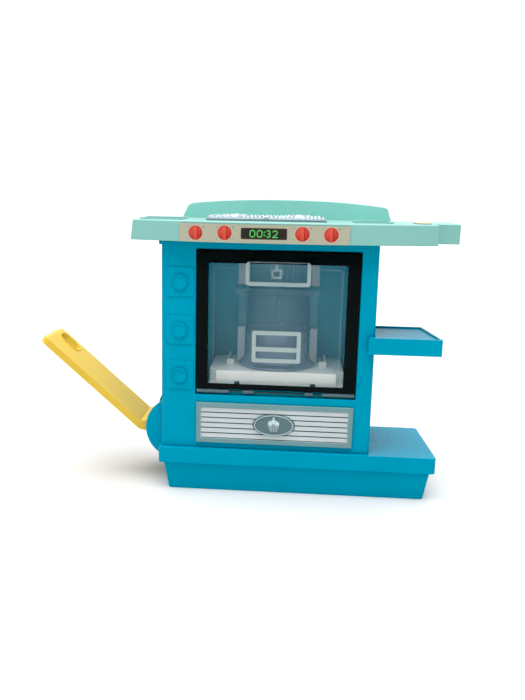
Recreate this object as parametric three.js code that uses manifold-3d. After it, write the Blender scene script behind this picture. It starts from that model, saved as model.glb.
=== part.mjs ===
// A toy kitchen: a cabinet with a clear oven door on a low base, a counter with a hob on top,
// a side shelf, and a lever that pushes a plunger up through a cake mould inside the oven.
// Millimetres. +X right, +Y to the back, +Z up. The origin is the middle of the flat underside.
import * as THREE from "three";
import { mergeVertices } from "three/addons/utils/BufferGeometryUtils.js";
import Module from "manifold-3d";

const wasm = await Module();
wasm.setup();

// ---- driving dimensions ----
const GAP = 0.3; // between pieces that touch
const WALL = 2.5; // moulded wall of the shells

const BASE = { left: -142.8, right: 139.4, front: -56, back: 47, lipBottom: 30, top: 46.6 };
const BASE_REAR_INSET = 4.8; // each end comes in this much towards the back
const SKIRT = { left: -138, right: 135, front: -53.5, back: 44.5 };
const SKIRT_TAPER = 5; // the skirt narrows by this much on each side down to the floor
const BODY = { left: -140.3, right: 73, front: -50, back: 47, bottom: BASE.top + GAP, top: 257 };
const BODY_CORNER = 4;
const BODY_LIP = { width: 2.8, height: 3.6 }; // along the top of the left wall
const SEAM_Y = 0; // the front and rear shells meet here

const DOOR = { left: -104.5, right: 55.8, bottom: 109.2, top: 249.5 };
const DOOR_CLEARANCE = 0.8;
const WINDOW = { left: -92.8, right: 43.5, bottom: 114.9, top: 236.7 };
const SILL_Z = 102.7;
const HINGE = { y: -48.1, z: 106.6, rodRadius: 1, knuckleRadius: 2.4 };
const KNUCKLES = [[-104, -71], [-57, -46], [5.6, 13.7], [22.8, 55.3]];
const HANDLE = { left: -56, right: 7.6, bottom: 215.6, top: 239, bar: 3.8, depth: 8 };

const OVEN = { left: -96, right: 47, bottom: 111, top: 240, front: -43.3, back: 42, wall: 1.6 };
const TRAY = { left: -85, right: 37, front: -43, back: 36, bottom: OVEN.bottom + GAP, top: 126.7 };
const MOULD = { x: -24.5, y: 0, bottom: TRAY.top + GAP, waist: 166, top: 204 };
const BORE_RADIUS = 29.5; // inside of the mould base, which the plunger fills
const MOULD_RADIUS = 33.2;
const BRIDGE = { halfWidth: 43.5, halfDepth: 37, bottom: MOULD.top + GAP, top: 210.5 };

const PIVOT = { x: -125.7, z: 61.9 };
const HUB_RADIUS = 9;
const CHEEK = { radius: 33, inner: 35, thickness: 4 };
const LEVER_HALF_WIDTH = 28;
const LEVER_THICKNESS = 7.4;
const LEVER_RISE = THREE.MathUtils.degToRad(41.3); // of the paddle above the level
const PADDLE_LENGTH = 139;
const ARM_LENGTH = 103; // pivot to lift pin
const ARM_DROP = THREE.MathUtils.degToRad(22); // of the lift arm below the level, at rest
const PIN_RADIUS = 2.5;
const AXLE_RADIUS = 3;
const POST_RADIUS = 5;

const COUNTER = { left: -168, right: 154, wingRight: 126.8, bottom: 257.6, top: 277.3, back: 50 };
const COUNTER_END_Y = -52; // front edge at the two ends
const COUNTER_BOW = 20; // how far the middle of the front stands out beyond the ends
const COUNTER_STEP_Y = -18; // the narrow right end starts here
const COUNTER_FLARE = 2.6; // each end of the bowed part stands out this much more at its foot
const LABEL = { left: -120.2, right: 42, bottom: 257.9, top: 275.3, thickness: 0.8 };
const SHELF = { left: 65.6, right: 136.9, front: -58.4, back: 15.8, bottom: 151.5, top: 168 };
const SHELF_SCREWS = { ys: [-36, -8], z: 160 };

const SCREW = { head: 3.2, headHeight: 1.5, shank: 1.5, hole: 1.8 };

// ---- materials ----
const plastic = (colour, roughness, extra = {}) =>
  new THREE.MeshStandardMaterial({ color: colour, roughness, metalness: 0, ...extra });
const TEAL = plastic(0x0096b9, 0.45);
const MINT = plastic(0x92d3c8, 0.45);
const YELLOW = plastic(0xe6cb58, 0.5);
const WHITE = plastic(0xdcdcd6, 0.45);
const BLACK = plastic(0x101214, 0.35);
const CLEAR = plastic(0xcfe2e6, 0.1, { transparent: true, opacity: 0.3 });
const SMOKE = plastic(0x9a9498, 0.2, { transparent: true, opacity: 0.5 });
const SILVER = plastic(0xa9b2b5, 0.35, { metalness: 0.3 });
const CHAMPAGNE = plastic(0xa6a68e, 0.4, { metalness: 0.2 });
const TAN = plastic(0xc9a878, 0.6);
const STEEL = plastic(0xb8bcc0, 0.3, { metalness: 0.9 });

// ---- solids ----
function toSolid(shape) {
  if (shape instanceof wasm.Manifold) return shape;
  const geometry = shape.index ? shape.toNonIndexed() : shape.clone();
  geometry.deleteAttribute("normal");
  geometry.deleteAttribute("uv");
  const merged = mergeVertices(geometry, 1e-4);
  return new wasm.Manifold(
    new wasm.Mesh({
      numProp: 3,
      vertProperties: new Float32Array(merged.attributes.position.array),
      triVerts: new Uint32Array(merged.index.array),
    }),
  );
}

function toGeometry(solid) {
  const mesh = solid.getMesh();
  const geometry = new THREE.BufferGeometry();
  geometry.setAttribute("position", new THREE.BufferAttribute(mesh.vertProperties, 3));
  geometry.setIndex(new THREE.BufferAttribute(mesh.triVerts, 1));
  geometry.computeVertexNormals();
  return geometry;
}

const join = (...shapes) => shapes.map(toSolid).reduce((all, next) => all.add(next));
const cut = (shape, ...tools) =>
  tools.map(toSolid).reduce((rest, tool) => rest.subtract(tool), toSolid(shape));
const common = (shape, other) => toSolid(shape).intersect(toSolid(other));

function box(x0, x1, y0, y1, z0, z1) {
  const geometry = new THREE.BoxGeometry(x1 - x0, y1 - y0, z1 - z0);
  return geometry.translate((x0 + x1) / 2, (y0 + y1) / 2, (z0 + z1) / 2);
}

// A closed outline through corners [u, v], each rounded off by radius.
function outline(corners, radius) {
  const points = corners.map(([u, v]) => new THREE.Vector2(u, v));
  const shape = new THREE.Shape();
  points.forEach((corner, i) => {
    const before = points.at(i - 1).clone().sub(corner).setLength(radius).add(corner);
    const after = points[(i + 1) % points.length].clone().sub(corner).setLength(radius).add(corner);
    if (i) shape.lineTo(before.x, before.y);
    else shape.moveTo(before.x, before.y);
    if (radius) shape.quadraticCurveTo(corner.x, corner.y, after.x, after.y);
  });
  shape.closePath();
  return shape;
}

const rectangle = (u0, u1, v0, v1, radius = 0) =>
  outline([[u0, v0], [u1, v0], [u1, v1], [u0, v1]], radius);

function disc(u, v, radius) {
  const shape = new THREE.Shape();
  shape.absarc(u, v, radius, 0, Math.PI * 2);
  return shape;
}

// A plan outline (X, Y) made into a block from z0 to z1.
function upright(shape, z0, z1, segments = 4) {
  const settings = { depth: z1 - z0, bevelEnabled: false, curveSegments: segments };
  return new THREE.ExtrudeGeometry(shape, settings).translate(0, 0, z0);
}

// A front-view outline (X, Z) made into a plate from y0 to y1.
function facing(shape, y0, y1, segments = 4) {
  const settings = { depth: y1 - y0, bevelEnabled: false, curveSegments: segments };
  return new THREE.ExtrudeGeometry(shape, settings).rotateX(Math.PI / 2).translate(0, y1, 0);
}

// A rod along "x", "y" or "z" from a to b, at the other two coordinates.
function rod(axis, u, v, radius, a, b, segments = 16) {
  const geometry = new THREE.CylinderGeometry(radius, radius, b - a, segments);
  const middle = (a + b) / 2;
  if (axis === "x") return geometry.rotateZ(Math.PI / 2).translate(middle, u, v);
  if (axis === "y") return geometry.translate(u, middle, v);
  return geometry.rotateX(Math.PI / 2).translate(u, v, middle);
}

// Pulls the bottom of a block in towards its middle, by an inset on every side.
function taperDown(geometry, inset) {
  geometry.computeBoundingBox();
  const { min, max } = geometry.boundingBox;
  const position = geometry.attributes.position;
  const shrink = (value, low, high) => {
    const half = (high - low) / 2;
    const middle = (high + low) / 2;
    return middle + ((value - middle) * (half - inset)) / half;
  };
  for (let i = 0; i < position.count; i++) {
    if (position.getZ(i) > (min.z + max.z) / 2) continue;
    position.setX(i, shrink(position.getX(i), min.x, max.x));
    position.setY(i, shrink(position.getY(i), min.y, max.y));
  }
  return geometry;
}

const kitchen = new THREE.Group();
kitchen.name = "toy_kitchen";

function add(name, shape, material) {
  const geometry = shape instanceof wasm.Manifold ? toGeometry(shape) : shape;
  const mesh = new THREE.Mesh(geometry, material);
  mesh.name = name;
  kitchen.add(mesh);
}

// ---- self-tapping screws: a low head and a shank, driven along an axis ----
// The head starts at "from" and the shank points towards the sign of "way".
function screw(name, axis, u, v, from, way, length) {
  const headEnd = from + way * SCREW.headHeight;
  const tip = from + way * length;
  const span = (a, b) => [Math.min(a, b), Math.max(a, b)];
  const head = rod(axis, u, v, SCREW.head, ...span(from, headEnd), 12);
  const shank = rod(axis, u, v, SCREW.shank, ...span(headEnd - way * 0.5, tip), 8);
  add(name, join(head, shank), STEEL);
}

// ---- base: a deck with a lip over a tapered skirt, open below ----
const baseScrewSpots = [[-118, -39], [-118, 31], [114, -39], [110, 31], [0, -39], [0, 31]];

function deckOutline(inset, radius) {
  const { left, right, front, back } = BASE;
  const rear = BASE_REAR_INSET;
  const corners = [
    [left + inset, front + inset],
    [right - inset, front + inset],
    [right - rear - inset, back - inset],
    [left + rear + inset, back - inset],
  ];
  return outline(corners, radius);
}

function skirtBlock(inset, bottom, top) {
  const { left, right, front, back } = SKIRT;
  const shape = rectangle(left + inset, right - inset, front + inset, back - inset, 4);
  return taperDown(upright(shape, bottom, top), SKIRT_TAPER);
}

function baseShell() {
  const deck = upright(deckOutline(0, 4), BASE.lipBottom, BASE.top);
  const skirt = skirtBlock(0, 0, BASE.lipBottom + 1);
  const hollow = skirtBlock(WALL, -1, BASE.lipBottom + 1);
  const underDeck = upright(deckOutline(WALL + 2, 3), BASE.lipBottom + WALL, BASE.top - WALL);
  const chimney = upright(rectangle(SKIRT.left + 3, SKIRT.right - 3, SKIRT.front + 3, SKIRT.back - 3, 3),
    BASE.lipBottom, BASE.lipBottom + WALL + 1);
  const leverNotch = box(BASE.left - 1, PIVOT.x + 22, -CHEEK.inner, CHEEK.inner, 32.5, 50);
  const cheekNotch = box(BASE.left - 1, BODY.left + 4, -CHEEK.inner - 5, CHEEK.inner + 5, 32, 50);
  const armNotch = box(PIVOT.x, MOULD.x + 16, -17, 17, 40, 50);
  const bosses = baseScrewSpots.map(([x, y]) => rod("z", x, y, 4.5, 3 + GAP, BASE.top - 1));
  const pilots = baseScrewSpots.map(([x, y]) => rod("z", x, y, SCREW.hole, 0, 16, 12));
  const shell = cut(join(deck, skirt), hollow, underDeck, chimney, leverNotch, cheekNotch, armNotch);
  return cut(join(shell, ...bosses), ...pilots);
}

add("base_shell", baseShell(), TEAL);

const coverInset = WALL + SKIRT_TAPER + GAP + 0.2;
const coverShape = rectangle(SKIRT.left + coverInset, SKIRT.right - coverInset,
  SKIRT.front + coverInset, SKIRT.back - coverInset, 3);
const coverHoles = baseScrewSpots.flatMap(([x, y]) => [
  rod("z", x, y, SCREW.hole, -1, 4, 12),
  rod("z", x, y, SCREW.head + GAP, -1, 2, 16),
]);
add("bottom_cover", cut(upright(coverShape, 0, 3), ...coverHoles), TEAL);
baseScrewSpots.forEach(([x, y], i) => screw(`base_screw_${i + 1}`, "z", x, y, 0.3, 1, 14));

// ---- cabinet: a front and a rear shell that meet half way back, held by four screws ----
const shellScrewSpots = [[-128, 112], [-128, 243], [66, 62], [66, 243]];
const BOSS_RADIUS = 4.8;
const SCREW_FLOOR_Y = 6; // the rear bosses are tubes with a floor here, for the screw heads

function shellBlock(y0, y1, inset) {
  const { left, right, front, back, top, bottom } = BODY;
  const shape = rectangle(left + inset, right - inset, front + inset, back - inset, BODY_CORNER);
  const low = inset ? bottom - 1 : bottom;
  const high = inset ? top - WALL : top;
  return common(upright(shape, low, high), box(left - 1, right + 1, y0, y1, 0, top + 1));
}

function cheek(side) {
  const { radius, inner, thickness } = CHEEK;
  const [y0, y1] = side < 0 ? [-inner - thickness, -inner] : [inner, inner + thickness];
  const plate = facing(disc(PIVOT.x, PIVOT.z, radius), y0, y1, 20);
  const aboveLip = box(-200, -60, -60, 60, BASE.top + GAP, 120);
  const beyondLip = box(-200, BODY.left + 3.5, -60, 60, 33, 120);
  return common(plate, join(aboveLip, beyondLip));
}

const axleHole = rod("y", PIVOT.x, PIVOT.z, AXLE_RADIUS + GAP, -CHEEK.inner - 5, CHEEK.inner + 5);
const leverSlot = box(BODY.left - 1, BODY.left + WALL + 3, -CHEEK.inner, CHEEK.inner, 40, 90);
const DRAWERS = { left: -135, right: -107.5, height: 29.2, centres: [217.2, 169, 122.4] };
const DOOR_STOP = { left: DOOR.right + DOOR_CLEARANCE, right: 59.8, bottom: 119.5, top: 126 };
const lipAlong = (y0, y1) =>
  box(BODY.left - BODY_LIP.width, BODY.left + 1, y0, y1, BODY.top - BODY_LIP.height, BODY.top);

function frontShell() {
  const wall = cut(shellBlock(-60, SEAM_Y - GAP / 2, 0), shellBlock(-60, 60, WALL));
  const c = DOOR_CLEARANCE;
  const doorway = box(DOOR.left - c, DOOR.right + c, -52, -45, SILL_Z, DOOR.top + c);
  const panels = DRAWERS.centres.flatMap((z) => {
    const { left, right, height } = DRAWERS;
    const panel = rectangle(left, right, z - height / 2, z + height / 2, 3);
    const knob = disc((left + right) / 2, z, 6.8);
    return [facing(panel, BODY.front - 1.2, BODY.front + 1), facing(knob, BODY.front - 2.6, BODY.front, 32)];
  });
  const bosses = shellScrewSpots.map(([x, z]) =>
    rod("y", x, z, BOSS_RADIUS, BODY.front + 1, SEAM_Y - GAP / 2));
  const pilots = shellScrewSpots.map(([x, z]) => rod("y", x, z, SCREW.hole, -16, 5, 12));
  const shelfHoles = SHELF_SCREWS.ys.map((y) => rod("x", y, SHELF_SCREWS.z, SCREW.hole, 60, 80, 12));
  const rodHole = rod("x", HINGE.y, HINGE.z, HINGE.rodRadius + GAP, DOOR.left - 4, DOOR.right + 4, 12);
  const rodBlocks = [DOOR.left - c - 3.5, DOOR.right + c].map((x) =>
    box(x, x + 3.5, BODY.front + 1, HINGE.y + 2.8, SILL_Z - 1, HINGE.z + 3));
  const stop = box(DOOR_STOP.left, DOOR_STOP.right, BODY.front - 1.6, BODY.front + 1,
    DOOR_STOP.bottom, DOOR_STOP.top);
  const lip = lipAlong(BODY.front + BODY_CORNER, SEAM_Y - GAP / 2);
  const shell = join(cut(wall, doorway, leverSlot), cheek(-1), ...panels, ...bosses, ...rodBlocks, stop, lip);
  return cut(shell, axleHole, rodHole, ...pilots, ...shelfHoles);
}

function rearShell() {
  const wall = cut(shellBlock(SEAM_Y + GAP / 2, 60, 0), shellBlock(-60, 60, WALL));
  const bosses = shellScrewSpots.map(([x, z]) =>
    rod("y", x, z, BOSS_RADIUS, SEAM_Y + GAP / 2, BODY.back - 1));
  const wells = shellScrewSpots.map(([x, z]) => rod("y", x, z, SCREW.head + GAP, SCREW_FLOOR_Y, 60, 16));
  const holes = shellScrewSpots.map(([x, z]) => rod("y", x, z, SCREW.hole, -2, 10, 12));
  const lip = lipAlong(SEAM_Y + GAP / 2, BODY.back - BODY_CORNER);
  const shell = join(cut(wall, leverSlot), cheek(1), ...bosses, lip);
  return cut(shell, axleHole, ...wells, ...holes);
}

add("front_shell", frontShell(), TEAL);
add("rear_shell", rearShell(), TEAL);
shellScrewSpots.forEach(([x, z], i) =>
  screw(`shell_screw_${i + 1}`, "y", x, z, SCREW_FLOOR_Y + GAP + SCREW.headHeight, -1, 16));

// ---- oven: a one-piece liner with a front flange that the door shuts against ----
function ovenLiner() {
  const { left, right, bottom, top, front, back, wall } = OVEN;
  const flange = box(left - 12, right + 12, front - 2, front, bottom - 9, top + 11);
  const shell = box(left - wall, right + wall, front - 1, back + wall, bottom - wall, top + wall);
  const inside = box(left, right, front - 5, back, bottom, top);
  const postHole = rod("z", MOULD.x, MOULD.y, POST_RADIUS + 1, bottom - 5, bottom + 2);
  return cut(join(flange, shell), inside, postHole);
}
add("oven_liner", ovenLiner(), TEAL);

const catchX = -26;
const catchRing = facing(rectangle(catchX - 5.3, catchX + 5.3, 221.5, 230.5, 1), -42.6, -39.6);
const catchStem = box(catchX - 1.2, catchX + 1.2, -42.3, -39.9, 229.5, OVEN.top - GAP);
const catchHole = box(catchX - 3.2, catchX + 3.2, -44, -38, 223.5, 228.5);
add("door_catch", cut(join(catchRing, catchStem), catchHole), WHITE);

// ---- tray: a white platform with low side walls and two hooks over the mould's foot ----
function ovenTray() {
  const { left, right, front, back, bottom, top } = TRAY;
  const block = box(left, right, front, back, bottom, top);
  const sides = [left - 7.5, right].map((x) => box(x, x + 7.5, front + 10, back - 4, bottom, top));
  const ledges = [left - 7.5, right].map((x) => box(x, x + 7.5, front + 0.5, front + 11, bottom, bottom + 3));
  const under = box(left + 2, right - 2, front + 2, back - 2, bottom - 1, top - 2);
  const postHole = rod("z", MOULD.x, MOULD.y, POST_RADIUS + 0.4, top - 5, top + 1);
  const notches = [-63.5, 13.5].map((x) => box(x - 2.6, x + 2.6, front - 1, front + 3, bottom - 1, bottom + 4.5));
  const hooks = [-1, 1].flatMap((side) => {
    const inner = MOULD.x + side * 44.5;
    const [x0, x1] = [Math.min(inner, inner + side * 8), Math.max(inner, inner + side * 8)];
    const [r0, r1] = side < 0 ? [x0, x0 + 2.6] : [x1 - 2.6, x1];
    return [box(x0, x1, -12, -9.5, top - 1, top + 5.5), box(r0, r1, -12, 28, top - 1, top + 5.5)];
  });
  return cut(join(block, ...sides, ...ledges, ...hooks), under, postHole, ...notches);
}
add("oven_tray", ovenTray(), WHITE);

// ---- mould: a flared base, two half shells with a seam in front, a bridge over them ----
function mouldBase(grow = 0) {
  const { bottom, waist } = MOULD;
  const flare = [[40.5, 0], [40.5, 2.2], [37.2, 4.4], [34.6, 8], [33.4, 12], [31.8, waist - bottom]];
  const profile = [
    [POST_RADIUS + 0.4, bottom],
    ...flare.map(([r, z]) => [r + grow, bottom + z + (z ? grow : 0)]),
    [BORE_RADIUS, waist + grow], [BORE_RADIUS, bottom + 2.5], [POST_RADIUS + 0.4, bottom + 2.5],
  ];
  const points = [...profile, profile[0]].map(([r, z]) => new THREE.Vector2(r, z));
  const lathe = new THREE.LatheGeometry(points, 40).rotateX(Math.PI / 2);
  return lathe.translate(MOULD.x, MOULD.y, 0);
}
add("mould_base", mouldBase(), SMOKE);

function mouldHalf(side) {
  const low = MOULD.waist + GAP;
  const wall = rod("z", MOULD.x, MOULD.y, MOULD_RADIUS, low, MOULD.top - 0.5, 40);
  const rim = rod("z", MOULD.x, MOULD.y, MOULD_RADIUS + 3, MOULD.top - 3, MOULD.top, 40);
  const rib = box(MOULD.x - 1.8, MOULD.x + 1.8, -MOULD_RADIUS - 2, MOULD_RADIUS + 2, low, MOULD.top - 1);
  const bore = rod("z", MOULD.x, MOULD.y, MOULD_RADIUS - 2.2, low - 1, MOULD.top + 1, 40);
  const edge = MOULD.x + side * 0.15;
  const half = side < 0 ? box(edge - 60, edge, -60, 60, 0, 300) : box(edge, edge + 60, -60, 60, 0, 300);
  const wing = box(MOULD.x - 42, MOULD.x + 42, -2, 2, low, MOULD.top - 1);
  return common(cut(join(wall, rim, rib, wing), bore), half);
}
add("mould_left_half", mouldHalf(-1), CLEAR);
add("mould_right_half", mouldHalf(1), CLEAR);

const bridgeShape = rectangle(MOULD.x - BRIDGE.halfWidth, MOULD.x + BRIDGE.halfWidth,
  -BRIDGE.halfDepth, BRIDGE.halfDepth, 4);
const bridgeHole = rod("z", MOULD.x, MOULD.y, MOULD_RADIUS - 1.6, 190, 230, 40);
add("mould_bridge", cut(upright(bridgeShape, BRIDGE.bottom, BRIDGE.top), bridgeHole), SMOKE);

// Posts stand beside the mould's foot, and two more above the bridge reach the oven's ceiling.
[["left", -1], ["right", 1]].forEach(([name, side]) => {
  const inner = MOULD.x + side * 34;
  const outer = MOULD.x + side * 42;
  const [x0, x1] = [Math.min(inner, outer), Math.max(inner, outer)];
  const lower = box(x0, x1, -5, 5, MOULD.bottom + 2.2 + GAP, MOULD.waist);
  add(`guide_post_${name}_lower`, cut(lower, mouldBase(GAP)), WHITE);
  add(`guide_post_${name}_upper`, box(x0, x1, -7, 7, BRIDGE.top + GAP, OVEN.top - GAP), WHITE);
});

function mouldLatch() {
  const [x0, x1] = [MOULD.x - 24.6, MOULD.x + 24.6];
  const [z0, z1] = [136.2, 168.6];
  const plate = facing(rectangle(x0, x1, z0, z1, 2.5), -42.2, -39.2);
  const windows = [[140, 147.4], [152, 164.4]].map(([a, b]) => box(x0 + 4, x1 - 4, -45, -35, a, b));
  const lugs = [x0, x1 - 3].map((x) => box(x, x + 3, -40, -27, 144, 158));
  return cut(join(plate, ...lugs), ...windows);
}
add("mould_latch", mouldLatch(), WHITE);

// ---- plunger: a disc on a post, with a slotted foot that the lift pin runs in ----
const pinX = PIVOT.x + ARM_LENGTH * Math.cos(ARM_DROP);
const pinZ = PIVOT.z - ARM_LENGTH * Math.sin(ARM_DROP);
const DISC_BOTTOM = MOULD.bottom + 4;

const plungerDisc = rod("z", MOULD.x, MOULD.y, BORE_RADIUS - 0.5, DISC_BOTTOM, DISC_BOTTOM + 4, 40);
const discSocket = rod("z", MOULD.x, MOULD.y, POST_RADIUS - 1 + GAP, DISC_BOTTOM - 1, DISC_BOTTOM + 2.5);
add("plunger_disc", cut(plungerDisc, discSocket), WHITE);

function plungerPost() {
  const post = rod("z", MOULD.x, MOULD.y, POST_RADIUS, pinZ + 6, DISC_BOTTOM - GAP);
  const spigot = rod("z", MOULD.x, MOULD.y, POST_RADIUS - 1, DISC_BOTTOM - 2, DISC_BOTTOM + 2.2);
  const foot = box(MOULD.x - 13, MOULD.x + 10, -8, 8, pinZ - 7, pinZ + 7.2);
  const slot = facing(rectangle(MOULD.x - 10.5, MOULD.x + 7.5, pinZ - 3.4, pinZ + 3.4, 3), -10, 10);
  return cut(join(post, spigot, foot), slot);
}
add("plunger_post", plungerPost(), WHITE);

// ---- lever: a wide paddle cranked at the hub, with the lift arm on the other side ----
// Side view (X, Z) of the paddle's underside and top, from the hub out to the tip.
function leverProfile() {
  const along = new THREE.Vector2(-Math.cos(LEVER_RISE), Math.sin(LEVER_RISE));
  const up = new THREE.Vector2(Math.sin(LEVER_RISE), Math.cos(LEVER_RISE));
  const elbow = new THREE.Vector2(-168.5, 56.2);
  const at = (distance, height) =>
    elbow.clone().addScaledVector(along, distance).addScaledVector(up, height).toArray();
  return outline([
    [PIVOT.x, PIVOT.z - 5],
    [-157.5, 53.6],
    at(0, 0),
    at(PADDLE_LENGTH, 0),
    at(PADDLE_LENGTH + 1.5, LEVER_THICKNESS * 0.55),
    at(PADDLE_LENGTH - 3, LEVER_THICKNESS),
    at(4, LEVER_THICKNESS),
    [-155, PIVOT.z + 5],
    [PIVOT.x, PIVOT.z + 5],
  ], 0.8);
}

// Seen square on to the paddle: two rounded lobes at the tip, and the long finger slot.
// Built flat with U along the paddle from the elbow, then turned to the paddle's slope.
function ontoPaddle(geometry) {
  return geometry.rotateY(LEVER_RISE).translate(-168.5, 0, 56.2);
}

function paddleTrim() {
  const tip = -PADDLE_LENGTH - 2;
  const w = LEVER_HALF_WIDTH;
  const shape = new THREE.Shape();
  shape.moveTo(60, -w);
  shape.lineTo(60, w);
  shape.lineTo(tip + 10, w);
  shape.quadraticCurveTo(tip, w, tip, w / 2);
  shape.quadraticCurveTo(tip, 2, tip + 4, 0);
  shape.quadraticCurveTo(tip, -2, tip, -w / 2);
  shape.quadraticCurveTo(tip, -w, tip + 10, -w);
  shape.closePath();
  return ontoPaddle(upright(shape, -60, 90, 6));
}

const fingerSlot = ontoPaddle(upright(rectangle(-131, -106, 2, 22.5, 8), -5, 15, 6));
const armSeat = box(PIVOT.x + 7.5, PIVOT.x + 20, -20.9, 20.9, PIVOT.z - 20, PIVOT.z + 20);

function leverPaddle() {
  const paddle = common(facing(leverProfile(), -LEVER_HALF_WIDTH, LEVER_HALF_WIDTH), paddleTrim());
  const hub = rod("y", PIVOT.x, PIVOT.z, HUB_RADIUS, -34, 34, 28);
  const bore = rod("y", PIVOT.x, PIVOT.z, AXLE_RADIUS + GAP, -40, 40);
  return cut(join(paddle, hub), fingerSlot, bore, armSeat, ...armScrewHoles(AXLE_RADIUS));
}

// The arm is built level, pointing along +X from the pivot, and turned down to rest.
const settle = (geometry) =>
  geometry.translate(-PIVOT.x, 0, -PIVOT.z).rotateY(ARM_DROP).translate(PIVOT.x, 0, PIVOT.z);
const armScrewY = [-16.6, 16.6];

function armScrewHoles(depth) {
  return armScrewY.map((y) => rod("x", y, PIVOT.z, SCREW.hole, PIVOT.x + depth + 1, PIVOT.x + 30, 12));
}

function liftArm() {
  const plate = box(PIVOT.x + 7.8, PIVOT.x + 12, -20.5, 20.5, PIVOT.z - 6, PIVOT.z + 6);
  const arms = [-13, 9.5].map((y) => {
    const side = box(PIVOT.x + 11, PIVOT.x + ARM_LENGTH, y, y + 3.5, PIVOT.z - 5, PIVOT.z + 5);
    return join(side, rod("y", PIVOT.x + ARM_LENGTH, PIVOT.z, 5, y, y + 3.5));
  });
  const forks = toGeometry(join(...arms));
  const pinHole = settle(rod("y", PIVOT.x + ARM_LENGTH, PIVOT.z, PIN_RADIUS + GAP, -20, 20, 16));
  return cut(join(plate, settle(forks)), pinHole, ...armScrewHoles(0));
}

add("lever_paddle", leverPaddle(), YELLOW);
add("lift_arm", liftArm(), WHITE);
armScrewY.forEach((y, i) =>
  screw(`arm_screw_${i + 1}`, "x", y, PIVOT.z, PIVOT.x + 12 + GAP + SCREW.headHeight, -1, 9));
add("lever_axle", rod("y", PIVOT.x, PIVOT.z, AXLE_RADIUS, -CHEEK.inner - 3.6, CHEEK.inner + 3.6), STEEL);
add("lift_pin", rod("y", pinX, pinZ, PIN_RADIUS, -13.6, 13.6, 16), STEEL);

// ---- door: a clear panel on a hinge rod, with a black frame and a clear pull ----
function doorPanel() {
  const { left, right, bottom, top } = DOOR;
  const [back, front] = [HINGE.y + 1.1, HINGE.y - 1.1];
  const pane = facing(rectangle(left, right, bottom, top, 2), front, back);
  const fingerGap = box(HANDLE.left + HANDLE.bar, HANDLE.right - HANDLE.bar, -60, -40,
    HANDLE.bottom + HANDLE.bar, WINDOW.top - 0.5);
  const knuckles = KNUCKLES.flatMap(([x0, x1]) => [
    rod("x", HINGE.y, HINGE.z, HINGE.knuckleRadius, x0, x1, 16),
    box(x0, x1, front, back, HINGE.z, bottom + 1),
  ]);
  const bore = rod("x", HINGE.y, HINGE.z, HINGE.rodRadius + GAP, left - 5, right + 5, 12);
  return cut(join(pane, ...knuckles), fingerGap, bore);
}
add("door_panel", doorPanel(), CLEAR);
add("hinge_rod", rod("x", HINGE.y, HINGE.z, HINGE.rodRadius, DOOR.left - 3.4, DOOR.right + 3.4, 12), STEEL);

const frameBack = HINGE.y - 1.1 - GAP;
const frameOuter = facing(rectangle(DOOR.left, DOOR.right, DOOR.bottom, DOOR.top, 2), frameBack - 1.2, frameBack);
const frameInner = facing(rectangle(WINDOW.left, WINDOW.right, WINDOW.bottom, WINDOW.top, 1.5), -60, -40);
add("door_frame", cut(frameOuter, frameInner), BLACK);

function doorHandle() {
  const { left, right, bottom, top, bar, depth } = HANDLE;
  const outer = rectangle(left, right, bottom, top, 4);
  const front = frameBack - depth;
  const block = join(
    common(facing(outer, front, frameBack), box(-80, 80, -80, 0, bottom, WINDOW.top - GAP)),
    common(facing(outer, front, frameBack - 1.2 - GAP), box(-80, 80, -80, 0, WINDOW.top - 1, top)),
  );
  return cut(block, box(left + bar, right - bar, -80, -40, bottom + bar, top + 5));
}
add("door_handle", doorHandle(), CLEAR);

// ---- vent: a plate with five slots pressed into it, and an oval badge on a stud ----
const VENT = { left: -104, right: 55, bottom: 52.5, top: 95, border: 5, slats: 6 };

function ventPlate() {
  const { left, right, bottom, top, border, slats } = VENT;
  const face = BODY.front - GAP;
  const plate = facing(rectangle(left, right, bottom, top, 1.5), face - 2.4, face);
  const pitch = (top - bottom - 2 * border) / slats;
  const grooves = Array.from({ length: slats - 1 }, (_, i) => {
    const z = bottom + border + pitch * (i + 1);
    return box(left + border, right - border, face - 4, face - 1.2, z - 0.7, z + 0.7);
  });
  const socket = rod("y", (left + right) / 2, (bottom + top) / 2, 2.5 + GAP, -60, -40, 16);
  return cut(plate, ...grooves, socket);
}
add("vent_plate", ventPlate(), SILVER);

const badgeX = (VENT.left + VENT.right) / 2;
const badgeZ = (VENT.bottom + VENT.top) / 2;
const badgeFace = BODY.front - GAP - 2.4 - GAP;
const badgeOval = new THREE.Shape();
badgeOval.absellipse(badgeX, badgeZ, 21.5, 11.5, 0, Math.PI * 2);
const badgeStud = rod("y", badgeX, badgeZ, 2.5, badgeFace - 1, BODY.front - GAP, 16);
add("badge", join(facing(badgeOval, badgeFace - 2.2, badgeFace, 16), badgeStud), SILVER);

// ---- side shelf: an open-bottomed moulding that hooks round the cabinet's front corner ----
function shelfOutline(inset) {
  const { left, right, front, back } = SHELF;
  const wallX = BODY.right + GAP + inset;
  return outline([
    [left + (inset ? 8 + inset : 0), front + inset],
    [right - inset, front + inset],
    [right - 8.9 - inset, back - inset],
    [wallX, back - inset],
    [wallX, BODY.front - GAP],
    [left + (inset ? 8 + inset : 0), BODY.front - GAP],
  ], inset ? 0 : 1);
}

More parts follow.
